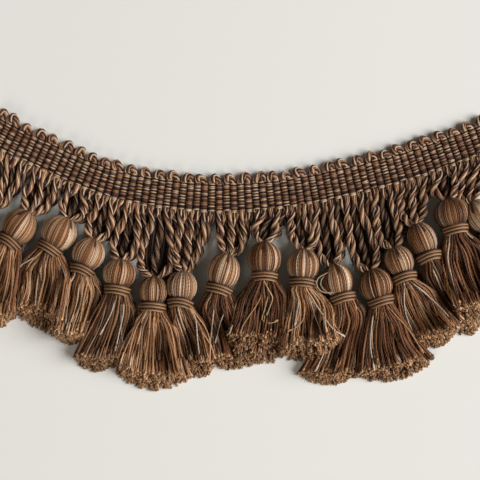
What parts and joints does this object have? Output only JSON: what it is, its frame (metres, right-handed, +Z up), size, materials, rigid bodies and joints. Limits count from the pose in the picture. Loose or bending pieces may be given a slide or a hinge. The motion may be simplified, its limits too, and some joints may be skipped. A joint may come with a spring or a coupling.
{
  "type": "tassel fringe trim",
  "caption": "Ribbed woven heading with a looped cord along one edge and ball-headed yarn tassels on twisted ropes along the other, laid flat in a shallow curve.",
  "frame": {"origin": "centre of the bottom of the whole trim's bounding box, on the surface that it lies on", "axes": "+X along the trim from left to right as pictured, +Y from the tassels towards the looped edge, +Z up out of the surface"},
  "size_m": [0.2702, 0.1246, 0.0127],
  "materials": {
    "heading": "ribbed weave of beige and tan yarn over dark yarn",
    "edge_cord": "twisted cord of beige and tan yarn",
    "rope": "twisted ropes of beige, tan and dark purple-brown yarn",
    "tassel": "soft cut yarn in tan, beige and dark brown",
    "binding": "fine wrapped thread in tan and dark brown"
  },
  "bodies": {
    "root": {"heading": "heading", "picot_edge": "edge_cord", "hanger_01": "rope", "hanger_02": "rope", "hanger_03": "rope", "hanger_04": "rope", "hanger_05": "rope", "hanger_06": "rope", "hanger_07": "rope", "hanger_08": "rope", "hanger_09": "rope", "hanger_10": "rope", "hanger_11": "rope", "hanger_12": "rope", "hanger_13": "rope", "hanger_14": "rope", "hanger_15": "rope", "hanger_16": "rope", "tassel_01": "tassel", "tassel_02": "tassel", "tassel_03": "tassel", "tassel_04": "tassel", "tassel_05": "tassel", "tassel_06": "tassel", "tassel_07": "tassel", "tassel_08": "tassel", "tassel_09": "tassel", "tassel_10": "tassel", "tassel_11": "tassel", "tassel_12": "tassel", "tassel_13": "tassel", "tassel_14": "tassel", "tassel_15": "tassel", "tassel_16": "tassel", "binding_01": "binding", "binding_02": "binding", "binding_03": "binding", "binding_04": "binding", "binding_05": "binding", "binding_06": "binding", "binding_07": "binding", "binding_08": "binding", "binding_09": "binding", "binding_10": "binding", "binding_11": "binding", "binding_12": "binding", "binding_13": "binding", "binding_14": "binding", "binding_15": "binding", "binding_16": "binding"}
  },
  "joints": []
}
